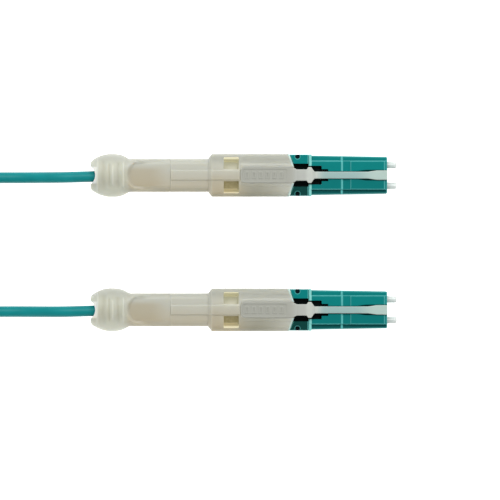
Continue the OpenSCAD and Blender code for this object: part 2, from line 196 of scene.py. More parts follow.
def coil_strand():
    """Layers wound in and out, then the last strand down the outside to the table."""
    points = []
    base = CABLE_D / 2 + COIL_LIFT
    steps = round(LAYER_TURNS * POINTS_A_TURN)
    climb = POINTS_A_TURN // 3
    angle = 90.0
    inner = COIL_OUTER - LAYER_TURNS * COIL_PITCH
    for layer in range(COIL_LAYERS):
        start, end = (COIL_OUTER, inner) if layer % 2 == 0 else (inner, COIL_OUTER)
        for i in range(steps):
            r = start + (end - start) * i / steps
            z = base + (layer - 1 + smooth(i / climb)) * COIL_PITCH if layer else base
            points.append(on_coil(r, angle + 360 * i / POINTS_A_TURN, z))
        angle += 360 * LAYER_TURNS
    half = POINTS_A_TURN // 2
    top = base + (COIL_LAYERS - 1) * COIL_PITCH
    for i in range(half + 1):
        t = i / half
        r = COIL_OUTER + COIL_PITCH * min(1, 2.5 * t)
        points.append(on_coil(r, angle + 360 * i / POINTS_A_TURN, top + (base - top) * smooth(t)))
    return points


def make_cord(ties):
    """The whole cable from crimp to crimp; the radius of each point gives its thickness."""
    route = straight_run("a") + ROUTE_A + INTO_COIL_A + coil_strand()
    route += (straight_run("b") + ROUTE_B + INTO_COIL_B)[::-1]
    curve = bpy.data.curves.new("cable", "CURVE")
    curve.dimensions = "3D"
    spline = curve.splines.new("NURBS")
    spline.points.add(len(route) - 1)
    for point, co in zip(spline.points, route):
        point.co = (*(Vector(co) * MM), 1)
        point.radius = CABLE_D / 2 * MM
    spline.use_endpoint_u = True
    spline.order_u = 4
    spline.resolution_u = 4
    curve.bevel_depth = 1
    curve.bevel_resolution = 6
    curve.use_fill_caps = True
    cable = bpy.data.objects.new("cable", curve)
    bpy.context.scene.collection.objects.link(cable)
    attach(cable, SHELLS)
    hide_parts("cord_tube_a", "cord_tube_b", "cord_coil")
    curve.materials.append(PAINTS["cable_jacket"])


# ---------------------------------------------------------------- closed solids, in millimetres
# A solid is made round its own plug's centre line: x along the plug, y across it, z up from the table.


def solid(points, faces):
    """A closed mesh as a scratch object."""
    mesh = bpy.data.meshes.new("solid")
    mesh.from_pydata([tuple(p) for p in points], [], faces)
    made = bpy.data.objects.new("solid", mesh)
    bpy.context.scene.collection.objects.link(made)
    return made


def loft(rings, closed=False):
    """Skins rings of equally many points, which run top, +Y side, bottom, -Y side."""
    count = len(rings[0])
    points = [p for ring in rings for p in ring]
    faces = []
    for i in range(len(rings) if closed else len(rings) - 1):
        a, b = i * count, (i + 1) % len(rings) * count
        for k in range(count):
            n = (k + 1) % count
            faces.append((a + k, b + k, b + n, a + n))
    if not closed:
        for start, turn in ((0, 1), ((len(rings) - 1) * count, -1)):
            hub = len(points)
            points.append(tuple(np.mean(points[start:start + count], axis=0)))
            for k in range(count):
                faces.append((*(start + k, start + (k + 1) % count)[::turn], hub))
    return solid(points, faces)


def lathe(profile, y=0.0, z=None, sides=48, closed=False, shape=None):
    """Turns (x, radius) points about a line along x; shape(x, radius, angle) scales the radius."""
    z = AXIS_Z if z is None else z
    rings = []
    for x, r in profile:
        ring = []
        for k in range(sides):
            a = 2 * math.pi * k / sides
            grown = r * (shape(x, r, a) if shape else 1)
            ring.append((x, y + grown * math.sin(a), z + grown * math.cos(a)))
        rings.append(ring)
    return loft(rings, closed)


def corner_ring(w, h, r, steps=3):
    """A rectangle with round corners about its own centre, as (y, z) points."""
    ring = []
    for cy, cz, start in ((1, 1, 0), (1, -1, 90), (-1, -1, 180), (-1, 1, 270)):
        for i in range(steps + 1):
            a = math.radians(start + 90 * i / steps)
            ring.append((cy * (w / 2 - r) + r * math.sin(a), cz * (h / 2 - r) + r * math.cos(a)))
    return ring


def bar(stations, r=0.12, y=0.0, steps=3):
    """A bar along x with round edges; each station is (x, width, bottom, top)."""
    first, last = stations[0], stations[-1]
    quarter = [math.pi / 2 * i / steps for i in range(steps + 1)]
    ends = [(r * (1 - math.cos(a)), r * (1 - math.sin(a))) for a in quarter]
    rows = [(first, first[0] + along, inset) for along, inset in ends]
    rows += [(station, station[0], 0) for station in stations[1:-1]]
    rows += [(last, last[0] - along, inset) for along, inset in reversed(ends)]
    rings = []
    for (_, w, z0, z1), x, inset in rows:
        ring = corner_ring(w - 2 * inset, z1 - z0 - 2 * inset, max(r - inset, 0.01), steps)
        rings.append([(x, y + py, (z0 + z1) / 2 + pz) for py, pz in ring])
    return loft(rings)


def block(x0, x1, w, z0, z1, r=0.1, y=0.0):
    """A bar of one width and height."""
    return bar([(x0, w, z0, z1), (x1, w, z0, z1)], r, y)


def pegs(outline, levels):
    """A plan outline, anticlockwise, stood up through levels of (height, how far it has grown outwards)."""
    count = len(outline)
    away = []
    for k in range(count):
        tx, ty = np.subtract(outline[(k + 1) % count], outline[k - 1])
        away.append((ty / math.hypot(tx, ty), -tx / math.hypot(tx, ty)))
    points, faces = [], []
    for z, more in levels:
        points += [(x + more * nx, y + more * ny, z) for (x, y), (nx, ny) in zip(outline, away)]
    for i in range(len(levels) - 1):
        for k in range(count):
            n = (k + 1) % count
            faces.append((i * count + k, i * count + n, (i + 1) * count + n, (i + 1) * count + k))
    faces.append(tuple(range(count))[::-1])
    faces.append(tuple((len(levels) - 1) * count + k for k in range(count)))
    return solid(points, faces)


def hole(outline, floor, rim, soften=0.1):
    """A cutter for a hole open to the top, with a softened rim at height rim."""
    return pegs(outline, [(floor, 0), (rim - soften, 0), (rim, soften), (rim + 3, soften)])


def rounded_plan(x0, x1, y0, y1, r, steps=5):
    """A rectangle in plan with round corners, as (x, y) points running anticlockwise."""
    outline = []
    centres = [(x1 - r, y1 - r, 0), (x0 + r, y1 - r, 90), (x0 + r, y0 + r, 180), (x1 - r, y0 + r, 270)]
    for cx, cy, start in centres:
        for i in range(steps + 1):
            a = math.radians(start + 90 * i / steps)
            outline.append((cx + r * math.cos(a), cy + r * math.sin(a)))
    return outline


def circle_plan(x, y, r, steps=40):
    turn = [2 * math.pi * i / steps for i in range(steps)]
    return [(x + r * math.cos(a), y + r * math.sin(a)) for a in turn]


def sweep(points, r, sides=10, up=(0, 0, 1)):
    """A round wire through the points, which never run along the direction up."""
    path = [Vector(p) for p in points]
    rings = []
    for i, p in enumerate(path):
        ahead = (path[min(i + 1, len(path) - 1)] - path[max(i - 1, 0)]).normalized()
        across = Vector(up).cross(ahead).normalized()
        over = ahead.cross(across)
        turn = [2 * math.pi * k / sides for k in range(sides)]
        rings.append([tuple(p + r * (math.cos(a) * over - math.sin(a) * across)) for a in turn])
    return loft(rings)


def settle(body):
    """Makes a solid's modifiers part of its mesh."""
    bpy.context.view_layer.update()
    graph = bpy.context.evaluated_depsgraph_get()
    mesh = bpy.data.meshes.new_from_object(body.evaluated_get(graph))
    body.modifiers.clear()
    body.data = mesh
    return body


def combine(body, tools, how):
    for tool in tools:
        change = body.modifiers.new("change", "BOOLEAN")
        change.operation = how
        change.solver = "EXACT"
        change.object = tool
        settle(body)
        bpy.data.objects.remove(tool)
    return body


def join(body, *tools):
    return combine(body, tools, "UNION")


def cut(body, *tools):
    return combine(body, tools, "DIFFERENCE")


def span(x0, x1, step):
    """Evenly spaced values from x0 up to, and not including, x1."""
    count = max(1, round((x1 - x0) / step))
    return [x0 + (x1 - x0) * i / count for i in range(count)]


FLAT_ANGLE = math.radians(38)


def finished(body):
    """Smooth shading between soft edges, with flats kept flat."""
    body.data.shade_smooth()
    body.data.set_sharp_from_angle(angle=FLAT_ANGLE)
    flats = body.modifiers.new("flats", "WEIGHTED_NORMAL")
    flats.keep_sharp = True
    return settle(body)


def put(made, node, body, slot, plug=None, shift=0.0):
    """Sets a copy of a solid, turned to metres, in its plug, in place of a CAD node."""
    mesh = made.data.copy()
    mesh.transform(Matrix.Translation((0, shift * MM, 0)) @ Matrix.Scale(MM, 4))
    mesh.name = f"shown_{node}"
    mesh.materials.clear()
    mesh.materials.append(PAINTS[slot])
    piece = bpy.data.objects.new(f"shown_{node}", mesh)
    bpy.context.scene.collection.objects.link(piece)
    if plug:
        piece.location.y = PLUGS[plug] * PLUG_Y * MM
    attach(piece, body)
    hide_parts(node)
    return piece


# ---------------------------------------------------------------- finishes

class Wire:
    """One output of a shader node; arithmetic on it adds Math nodes."""

    def __init__(self, paint, socket):
        self.paint = paint
        self.socket = socket

    def maths(self, operation, a, b=0.0):
        return self.paint.node("ShaderNodeMath", {"operation": operation}, {0: a, 1: b})

    def __add__(self, other):
        return self.maths("ADD", self, other)

    __radd__ = __add__

    def __sub__(self, other):
        return self.maths("SUBTRACT", self, other)

    def __rsub__(self, other):
        return self.maths("SUBTRACT", other, self)

    def __mul__(self, other):
        return self.maths("MULTIPLY", self, other)

    __rmul__ = __mul__

    def __truediv__(self, other):
        return self.maths("DIVIDE", self, other)

    def __rtruediv__(self, other):
        return self.maths("DIVIDE", other, self)

    def __abs__(self):
        return self.maths("ABSOLUTE", self)

    def sine(self):
        return self.maths("SINE", self)

    def larger(self, other):
        return self.maths("MAXIMUM", self, other)

    def step(self, low, high):
        """A soft step from 0 at low to 1 at high."""
        if low > high:
            return 1 - self.step(high, low)
        settings = {"interpolation_type": "SMOOTHSTEP"}
        sockets = {"Value": self, "From Min": low, "From Max": high}
        return self.paint.node("ShaderNodeMapRange", settings, sockets)


class Paint:
    """A finish for one kind of surface. Positions are millimetres in the piece's own plug."""

    def __init__(self, name, roughness=0.4, **fixed):
        self.material = bpy.data.materials.new(name)
        self.material.use_nodes = True
        self.tree = self.material.node_tree
        self.shader = self.tree.nodes["Principled BSDF"]
        self.shader.inputs["Roughness"].default_value = roughness
        for socket, value in fixed.items():
            self.shader.inputs[socket.replace("_", " ")].default_value = value
        where = self.node("ShaderNodeTexCoord", output="Object")
        self.where = self.node("ShaderNodeVectorMath", {"operation": "SCALE"}, {0: where, "Scale": 1 / MM})
        self.x, self.y, self.z = self.parts(self.where)

    def feed(self, socket, value):
        if isinstance(value, Wire):
            self.tree.links.new(value.socket, socket)
        elif socket.type == "RGBA" and len(value) == 3:
            socket.default_value = (*value, 1)
        else:
            socket.default_value = value

    def node(self, kind, settings=None, sockets=None, output=0):
        """Adds a node, sets its settings first and then the values or links of its sockets."""
        made = self.tree.nodes.new(kind)
        for name, value in (settings or {}).items():
            setattr(made, name, value)
        for name, value in (sockets or {}).items():
            self.feed(made.inputs[name], value)
        return Wire(self, made.outputs[output])

    def parts(self, vector):
        split = self.node("ShaderNodeSeparateXYZ", sockets={0: vector})
        return tuple(Wire(self, split.socket.node.outputs[i]) for i in range(3))

    def stretched(self, x, y, z):
        return self.node("ShaderNodeVectorMath", {"operation": "MULTIPLY"}, {0: self.where, 1: (x, y, z)})

    def noise(self, scale, detail=3.0, roughness=0.5, where=None):
        """Cloudy noise with scale cells to the millimetre."""
        sockets = {"Vector": where or self.where, "Scale": scale, "Detail": detail, "Roughness": roughness}
        return self.node("ShaderNodeTexNoise", sockets=sockets)

    def mix(self, share, a, b):
        """Colour a where share is 0, colour b where it is 1."""
        sockets = {0: share, 6: a, 7: b}
        return self.node("ShaderNodeMix", {"data_type": "RGBA"}, sockets, output=2)

    def corners(self):
        """1 on rounded edges and slopes, 0 on faces square to the plug."""
        normal = self.node("ShaderNodeNewGeometry", output="True Normal")
        nx, ny, nz = (abs(part) for part in self.parts(normal))
        return nx.larger(ny).larger(nz).step(0.995, 0.93)

    def colour(self, value):
        self.feed(self.shader.inputs["Base Color"], value)

    def roughness(self, value):
        self.feed(self.shader.inputs["Roughness"], value)

    def glow(self, value):
        """Painted light: an emission that stands in for light coming through the material from the far side.
        """
        self.feed(self.shader.inputs["Emission Color"], value)
        self.shader.inputs["Emission Strength"].default_value = 1.0

    def bumps(self, height, depth):
        """Height from 0 to 1, over a depth in millimetres."""
        sockets = {"Height": height, "Distance": depth * MM, "Strength": 1.0}
        bump = self.node("ShaderNodeBump", sockets=sockets)
        self.feed(self.shader.inputs["Normal"], bump)


def moulded(paint, grain=14.0, depth=0.006):
    """The fine spark-eroded grain and slow flow marks of a moulded face."""
    fine = paint.noise(grain, 2.0)
    flow = paint.noise(0.8, 2.0, where=paint.stretched(0.25, 1, 1))
    paint.bumps(fine * 0.6 + flow * 0.4, depth)
    return fine, flow


def boot_plastic():
    """Translucent natural white, cool towards +Y and warm towards -Y, a painted shade that also stands for
    thicker plastic; with painted shade in the scoop, the furrows and along the +Y edge, painted highlights on
    the crests, the edges, the ball's -Y side, the front rim and the back lip, and painted light glowing
    inside the sleeve.
    """
    cool, shaded = (0.555, 0.56, 0.49), (0.36, 0.37, 0.325)
    warm_neck, warm_sleeve, low_sleeve_shade = (0.50, 0.46, 0.35), (0.45, 0.40, 0.28), (0.345, 0.335, 0.26)
    scoop_shade, round_ball, lit_ball = (0.44, 0.375, 0.24), (0.54, 0.555, 0.455), (0.74, 0.755, 0.63)
    crest_highlight, furrow_shade, edge = (0.72, 0.73, 0.66), (0.45, 0.43, 0.31), (0.75, 0.76, 0.7)
    speckle, aqua_rim_highlight, lip_highlight = (0.7, 0.7, 0.62), (0.52, 0.78, 0.72), (0.9, 0.9, 0.86)
    inner_glow_dim, inner_glow_bright = (0.25, 0.23, 0.15), (0.62, 0.59, 0.43)
    paint = Paint("boot_plastic", 0.42, Subsurface_Weight=0.7, Subsurface_Radius=(1.0, 0.9, 0.7),
                  Subsurface_Scale=1.4 * MM, Specular_IOR_Level=0.3)
    fine, flow = moulded(paint)
    x, y, z = paint.x, paint.y, paint.z
    cloud = paint.noise(0.35, 3.0, where=paint.stretched(0.4, 1, 1))
    # painted shade: warmer and darker towards -Y, away from the lamp, partly the tint of thicker plastic
    thick = (y * -0.16 + 0.42 + (cloud - 0.5) * 0.5).step(0.0, 1.0)
    thick = thick * x.step(11.0, 2.0)
    warm = paint.mix(x.step(-7, -5), warm_neck, warm_sleeve)
    # painted shade, darker still on the -Y side of the sleeve's front part
    warm = paint.mix(x.step(-3, 2) * y.step(-0.8, -1.6), warm, low_sleeve_shade)
    body = paint.mix(thick, cool, warm)
    # painted shade in the scoop of the neck, set towards -Y
    scoop = x.step(SCOOP_X, SCOOP_X + 0.5) * x.step(STEP_X, SCOOP_X + 4) * abs(y + 0.5).step(2.4, 1.2)
    body = paint.mix(scoop * 0.55, body, scoop_shade)
    ball = x.step(SCOOP_X + 0.9, SCOOP_X - 0.9)
    body = paint.mix(ball * 0.75, body, round_ball)
    # painted highlights on the grip's crests and painted shade in its furrows
    for at, half, width, rise in GRIP:
        band = abs(x - at).step(1.5 * width, 0) * abs(y).step(half + GRIP_FADE, half - GRIP_FADE)
        body = paint.mix(band * 0.4, body, crest_highlight if rise > 0 else furrow_shade)
    body = paint.mix(y.step(1.6, 3.4) * 0.75, body, shaded)
    body = paint.mix(y.step(-1.2, -3.2) * ball * 0.8, body, lit_ball)
    body = paint.mix((fine - 0.35) * 0.12, body, speckle)
    # painted highlight along rounded edges and slopes
    body = paint.mix(paint.corners() * 0.12, body, edge)
    # painted highlight in pale aqua along the slanted front edge, outside the label plate
    slant = x - CORNER_X - (SLEEVE_W / 2 - abs(y)) * EDGE_SLANT
    rim = slant.step(-0.45, -0.1) * abs(y).step(PLATE_W / 2, PLATE_W / 2 + 0.2)
    body = paint.mix(rim * 0.8, body, aqua_rim_highlight)
    # painted highlight on the back lip round the cable's mouth
    lip_highlight_mask = x.step(BOOT_BACK + 1.5, BOOT_BACK + 0.9) * abs(y).step(1.7, 1.3)
    paint.colour(paint.mix(lip_highlight_mask * 0.8, body, lip_highlight))
    # painted light: a glow on the inside of the sleeve, seen through the windows, dim in the middle and
    # brighter by the walls
    room = x.step(SHOULDER_X + 1.1, SHOULDER_X + 1.2) * abs(y).step(3.34, 3.27)
    room = room * z.step(WALL - 0.07, WALL + 0.03) * z.step(SLEEVE_H - 0.2, SLEEVE_H - 0.4)
    paint.glow(paint.mix(room, (0, 0, 0), paint.mix(abs(y).step(2.9, 3.15), inner_glow_dim, inner_glow_bright)))
    paint.roughness(0.36 + flow * 0.12)
    return paint.material


def arm_plastic():
    """A stiffer, greyer moulding than the boot's; ahead of the sleeve the aqua under it shows through."""
    plate, edge, smudge = (0.40, 0.405, 0.355), (0.66, 0.70, 0.66), (0.37, 0.37, 0.32)
    # along the arm: where a tint starts, where it is full, and the tint
    tints = [
        (8.0, 10.5, (0.48, 0.50, 0.46)), (11.0, 11.8, (0.57, 0.60, 0.55)),
        (12.8, 15.0, (0.33, 0.485, 0.465)), (20.0, 24.0, (0.46, 0.60, 0.55)),
    ]
    paint = Paint("arm_plastic", 0.4, Subsurface_Weight=0.12, Subsurface_Radius=(0.5, 0.5, 0.4),
                  Subsurface_Scale=MM, Specular_IOR_Level=0.3)
    fine, flow = moulded(paint, 10.0)
    body = plate
    for begins, full, tint in tints:
        body = paint.mix(paint.x.step(begins, full), body, tint)
    body = paint.mix((flow - 0.3) * 0.3, body, smudge)
    # painted highlight along rounded edges and slopes
    paint.colour(paint.mix(paint.corners() * 0.22, body, edge))
    paint.roughness(0.34 + fine * 0.14)
    return paint.material


def aqua_plastic():
    """Glossy aqua moulding with painted highlights along its edges and across its rim, and painted shade on
    its -Y side, in the collar's marks and down in the arm's pocket.
    """
    bright, deep, low_side_shade = (0.0022, 0.215, 0.208), (0.0015, 0.165, 0.165), (0.003, 0.12, 0.118)
    strip_shade, collar_shade = (0.002, 0.055, 0.055), (0.003, 0.028, 0.022)
    mark_shade, pocket_shade = (0.002, 0.018, 0.024), (0.001, 0.004, 0.004)
    edge_highlight, rim_highlight = (0.14, 0.56, 0.54), (0.27, 0.71, 0.66)
    paint = Paint("aqua_plastic", 0.3, Specular_IOR_Level=0.06)
    fine, flow = moulded(paint, 18.0, 0.004)
    x, y, z = paint.x - SPLIT_X, paint.y, paint.z
    off = abs(y)
    above = z.step(6.3, 6.7)
    low_side = y.step(0.5, -0.5)
    body = paint.mix((flow - 0.25) * 0.5, bright, deep)
    # painted shade on the -Y side, away from the lamp
    body = paint.mix(low_side * 0.35, body, low_side_shade)
    strip = off.step(2.66, 2.72) * x.step(0.6, 0.7) * z.step(5.5, 6.2)
    body = paint.mix(strip * low_side * 0.7, body, strip_shade)
    body = paint.mix(x.step(0.0, -0.1) * low_side * z.step(7.4, 7.9) * 0.85, body, collar_shade)
    # painted shade down in the arm's pocket, nearly black
    pocket = off.step(2.16, 2.1) * z.step(7.6, 6.9) * x.step(3.8, 3.4)
    # pale lines where an edge faces the light: along the rails behind and ahead of the break, then across
    # the ridge and the nose
    pale = paint.corners() * 0.6
    rails = off.step(2.5, 2.58) * off.step(2.7, 2.64) * x.step(0.6, 0.7) * x.step(6.2, 6.1)
    pale = pale.larger(rails * 0.75)
    rails = off.step(2.5, 2.54) * off.step(2.66, 2.6) * x.step(7.5, 7.6) * x.step(14.2, 14.1)
    pale = pale.larger(rails * 0.5)
    pale = pale.larger(x.step(5.88, 5.98) * x.step(6.32, 6.2) * 0.9)
    pale = pale.larger(x.step(13.75, 13.83) * x.step(14.0, 13.93) * off.step(2.6, 2.5) * 0.5)
    pale = pale * above * (1 - pocket)
    # painted highlight on the pale lines
    body = paint.mix(pale, body, edge_highlight)
    # painted highlight: a bright band across the rim
    rim = x.step(-0.02, 0.04) * x.step(RIM_L + 0.07, RIM_L - 0.03) * (1 - pocket) * z.step(4.0, 6.0)
    body = paint.mix(rim * 0.95, body, rim_highlight)
    mark_x, mark_y = x + MARK_BACK, off - MARK_OUT
    mark = (mark_x * mark_x + mark_y * mark_y).step(0.24, 0.18) * z.step(COLLAR_TOP - 0.01, COLLAR_TOP - 0.2)
    body = paint.mix(mark, body, mark_shade)
    paint.colour(paint.mix(pocket * 0.97, body, pocket_shade))
    paint.roughness(0.26 + fine * 0.12)
    return paint.material


def zirconia():
    """Polished white ceramic with the glass core showing in the middle of its tip."""
    tip = ends("ferrule_left_a")[1]
    paint = Paint("zirconia", 0.12, Specular_IOR_Level=0.6, Subsurface_Weight=0.1,
                  Subsurface_Radius=(0.4, 0.4, 0.4), Subsurface_Scale=MM)
    cloud = paint.noise(2.0, 2.0)
    body = paint.mix(cloud * 0.3, (0.82, 0.86, 0.83), (0.70, 0.74, 0.71))
    out_y, out_z = abs(paint.y) - HALF_PITCH, paint.z - AXIS_Z
    core = (out_y * out_y + out_z * out_z).step(0.005, 0.003) * paint.x.step(tip - 0.25, tip - 0.15)
    paint.colour(paint.mix(core, body, (0.02, 0.05, 0.06)))
    paint.roughness(0.1 + paint.noise(9.0, 4.0) * 0.12)
    paint.bumps(paint.noise(30.0, 2.0), 0.001)
    return paint.material


def turned_metal(name, light, dark, roughness):
    """Bare turned metal, with the lathe's rings and light handling marks."""
    paint = Paint(name, roughness, Metallic=1.0)
    rings = (paint.x * 70 + paint.noise(1.5) * 4).sine() * 0.5 + 0.5
    marks = paint.noise(3.0, 5.0, 0.65)
    paint.colour(paint.mix(marks.step(0.35, 0.7), light, dark))
    paint.roughness(roughness + marks * 0.2 - 0.08)
    paint.bumps(rings * 0.6 + marks * 0.4, 0.006)
    return paint.material


def spring_steel():
    """Bright drawn wire."""
    paint = Paint("spring_steel", 0.25, Metallic=1.0)
    drawn = paint.noise(6.0, 4.0, 0.6)
    paint.colour(paint.mix(drawn.step(0.4, 0.7), (0.60, 0.61, 0.62), (0.42, 0.42, 0.42)))
    paint.roughness(0.18 + drawn * 0.2)
    paint.bumps(drawn, 0.003)
    return paint.material


def crimp_brass():
    """Satin brass, tarnished in clouds and rubbed where the crimping die closed, with a painted highlight
    towards +Y.
    """
    paint = Paint("crimp_brass", 0.42, Metallic=0.35)
    cloud = paint.noise(1.1, 4.0, 0.6)
    rubbed = paint.noise(5.0, 3.0, where=paint.stretched(0.3, 1, 1))
    body = paint.mix(cloud.step(0.3, 0.75), (0.38, 0.345, 0.24), (0.30, 0.27, 0.18))
    # painted highlight: paler and greyer towards +Y, the side facing the lamp
    body = paint.mix(paint.y.step(0.4, 1.6) * 0.8, body, (0.56, 0.57, 0.53))
    paint.colour(paint.mix(rubbed.step(0.55, 0.75) * 0.4, body, (0.62, 0.57, 0.42)))
    paint.roughness(0.34 + cloud * 0.22)
    paint.bumps(rubbed, 0.01)
    return paint.material


def aramid():
    """Straight golden yarn with a soft sheen."""
    paint = Paint("aramid", 0.6, Sheen_Weight=0.3)
    strands = paint.noise(3.0, 3.0, where=paint.stretched(0.15, 4, 4))
    paint.colour(paint.mix(strands, (0.80, 0.62, 0.16), (0.58, 0.40, 0.08)))
    paint.bumps(strands, 0.03)
    return paint.material


def fibre_coating():
    """The thin glossy coat on a fibre."""
    paint = Paint("fibre_coating", 0.2, Coat_Weight=0.3)
    paint.colour(paint.mix(paint.noise(1.5), (0.10, 0.50, 0.50), (0.16, 0.62, 0.60)))
    paint.bumps(paint.noise(12.0), 0.002)
    return paint.material


def cable_jacket():
    """Satin aqua jacket with faint run lines, scuffs and a fine extruded grain."""
    paint = Paint("cable_jacket", 0.34, Specular_IOR_Level=0.2)
    grain = paint.noise(6.0, 4.0, 0.6)
    cloud = paint.noise(0.25, 2.0)
    body = paint.mix(cloud.step(0.3, 0.7), (0.003, 0.265, 0.275), (0.002, 0.235, 0.245))
    paint.colour(paint.mix(grain.step(0.6, 0.8) * 0.2, body, (0.02, 0.36, 0.37)))
    paint.roughness(0.34 + grain * 0.16)
    paint.bumps(grain, 0.012)
    return paint.material


def tie_fabric():
    """Black brushed hook-and-loop tape."""
    paint = Paint("tie_fabric", 0.9, Sheen_Weight=0.4)
    loops = paint.node("ShaderNodeTexVoronoi", sockets={"Vector": paint.where, "Scale": 3.2})
    fuzz = paint.noise(7.0, 4.0, 0.7)
    paint.colour(paint.mix(fuzz.step(0.35, 0.75), (0.010, 0.010, 0.012), (0.045, 0.045, 0.05)))
    paint.bumps(loops * 0.6 + fuzz * 0.4, 0.14)
    return paint.material


PAINTS = {
    "zirconia": zirconia(),
    "flange_metal": turned_metal("flange_metal", (0.66, 0.66, 0.63), (0.48, 0.48, 0.46), 0.3),
    "spring_steel": spring_steel(),
    "aqua_plastic": aqua_plastic(),
    "post_metal": turned_metal("post_metal", (0.68, 0.66, 0.60), (0.50, 0.48, 0.44), 0.28),
    "aramid": aramid(),
    "crimp_brass": crimp_brass(),
    "boot_plastic": boot_plastic(),
    "arm_plastic": arm_plastic(),
    "fibre": fibre_coating(),
    "cable_jacket": cable_jacket(),
    "tie_fabric": tie_fabric(),
}


# ---------------------------------------------------------------- the boot

BOOT_TOP = place("pull_boot_a")[1][2]
NECK_W = 6.0
NECK_H = 7.0
BALL_R = 3.93
BALL_BACK_CURVE, BALL_FRONT_CURVE = 0.1045, 0.0245

# columns of points along the top and the underside, close together where an edge runs
COLUMNS = [0, 0.3, 0.6, 0.78, 0.84, 0.91, 0.98, 1.2, 1.5, 1.8, 1.96, 2.06, 2.16]
SIDE_POINTS = 26


def ball_radius(x):
    """The ball is rounder behind its widest place than ahead of it."""
    d = x - BALL_MID
    return BALL_R - (BALL_BACK_CURVE * d * d if d < 0 else BALL_FRONT_CURVE * min(d, 4) ** 3)


def soft_max(a, b, blend):
    """The larger of two sizes, with a fillet where they cross."""
    t = max(blend - abs(a - b), 0) / blend
    return max(a, b) + blend * t * t / 4


def boot_section(x):
    """Half width, half height and corner radius of the boot's skin."""
    w = h = r = ball_radius(x)
    if x > BALL_MID:
        w = soft_max(w, NECK_W / 2, 0.3)
        h = soft_max(h, NECK_H / 2, 0.3)
        r = w + (1.15 - w) * smooth(x, SCOOP_X - 1.4, SCOOP_X + 1.6)
    sleeve = min(max((x - SHOULDER_X + 0.3) / 0.7, 0), 1)
    w += (SLEEVE_W / 2 - w) * sleeve
    h += (SLEEVE_H / 2 - h) * sleeve
    r += (0.8 - r) * sleeve
    return w, h, r


def boot_detail(x, y, top, facing_up):
    """How far the moulded detail stands out of the skin."""
    out = 0
    for at, half, width, rise in GRIP:
        along = math.exp(-((x - at) / width) ** 2)
        out += rise * along * smooth(abs(y), half + GRIP_FADE, half - GRIP_FADE)
    if not top:
        return out
    rib = smooth(x, STEP_X - 0.02, STEP_X + 0.12) * smooth(x, PLATE_BACK - 0.1, PLATE_BACK - 0.25)
    out += (BOOT_TOP - SLEEVE_H) * rib * smooth(abs(y), 0.94, 0.82)
    scoop_back = SCOOP_X + 1.1 * (y / 2.3) ** 2
    scoop_side = 2.15 + 0.95 * (x - SCOOP_X - 0.8) / 6
    depth = 0.48 - 0.3 * (x - SCOOP_X) / (STEP_X - SCOOP_X)
    scoop = smooth(x, scoop_back - 0.1, scoop_back + 0.65) * smooth(x, STEP_X + 0.05, STEP_X - 0.05)
    out -= depth * scoop * smooth(abs(y), scoop_side + 0.25, scoop_side - 0.25) * smooth(facing_up, 0.05, 0.6)
    out += 0.07 * smooth(x, PLATE_BACK - 0.12, PLATE_BACK + 0.02) * smooth(abs(y), 2.08, 1.94)
    return out


def half_outline(w, h, r):
    """The skin's outline from the middle of the top round one side to the middle of the underside."""
    arc = [math.radians(5 * i) for i in range(19)]
    upper = [(w - r + r * math.sin(a), h - r + r * math.cos(a)) for a in arc]
    return np.array([(0, h)] + upper + [(y, -z) for y, z in reversed(upper)] + [(0, -h)])


def boot_ring(x, inset=0.0):
    """The skin's points at x; ahead of CORNER_X they slant forward towards the label plate."""
    w, h, r = boot_section(x)
    line = half_outline(w - inset, h - inset, max(r - inset, 0.3))
    length = np.concatenate([[0], np.cumsum(np.linalg.norm(np.diff(line, axis=0), axis=1))])
    upper = len(line) // 2
    ends = np.interp(COLUMNS, line[:upper, 0], length[:upper])
    sides = np.linspace(ends[-1], length[-1] - ends[-1], SIDE_POINTS + 2)[1:-1]
    stops = np.concatenate([ends, sides, length[-1] - ends[::-1]])
    half = [(np.interp(s, length, line[:, 0]), np.interp(s, length, line[:, 1])) for s in stops]
    outline = half + [(-y, z) for y, z in half[-2:0:-1]]
    ring = []
    for k, (y, z) in enumerate(outline):
        ty, tz = np.subtract(outline[(k + 1) % len(outline)], outline[k - 1])
        size = math.hypot(ty, tz)
        out = boot_detail(x, y, z > 0, ty / size)
        lean = min(max((SLEEVE_W / 2 - abs(y)) / (SLEEVE_W / 2 - PLATE_W / 2), 0), 1)
        ahead = max(x - CORNER_X + 1.8, 0) / 1.8 * (BOOT_FRONT - CORNER_X) * lean
        ring.append((x + ahead, y - tz / size * out, AXIS_Z + z + ty / size * out))
    return ring


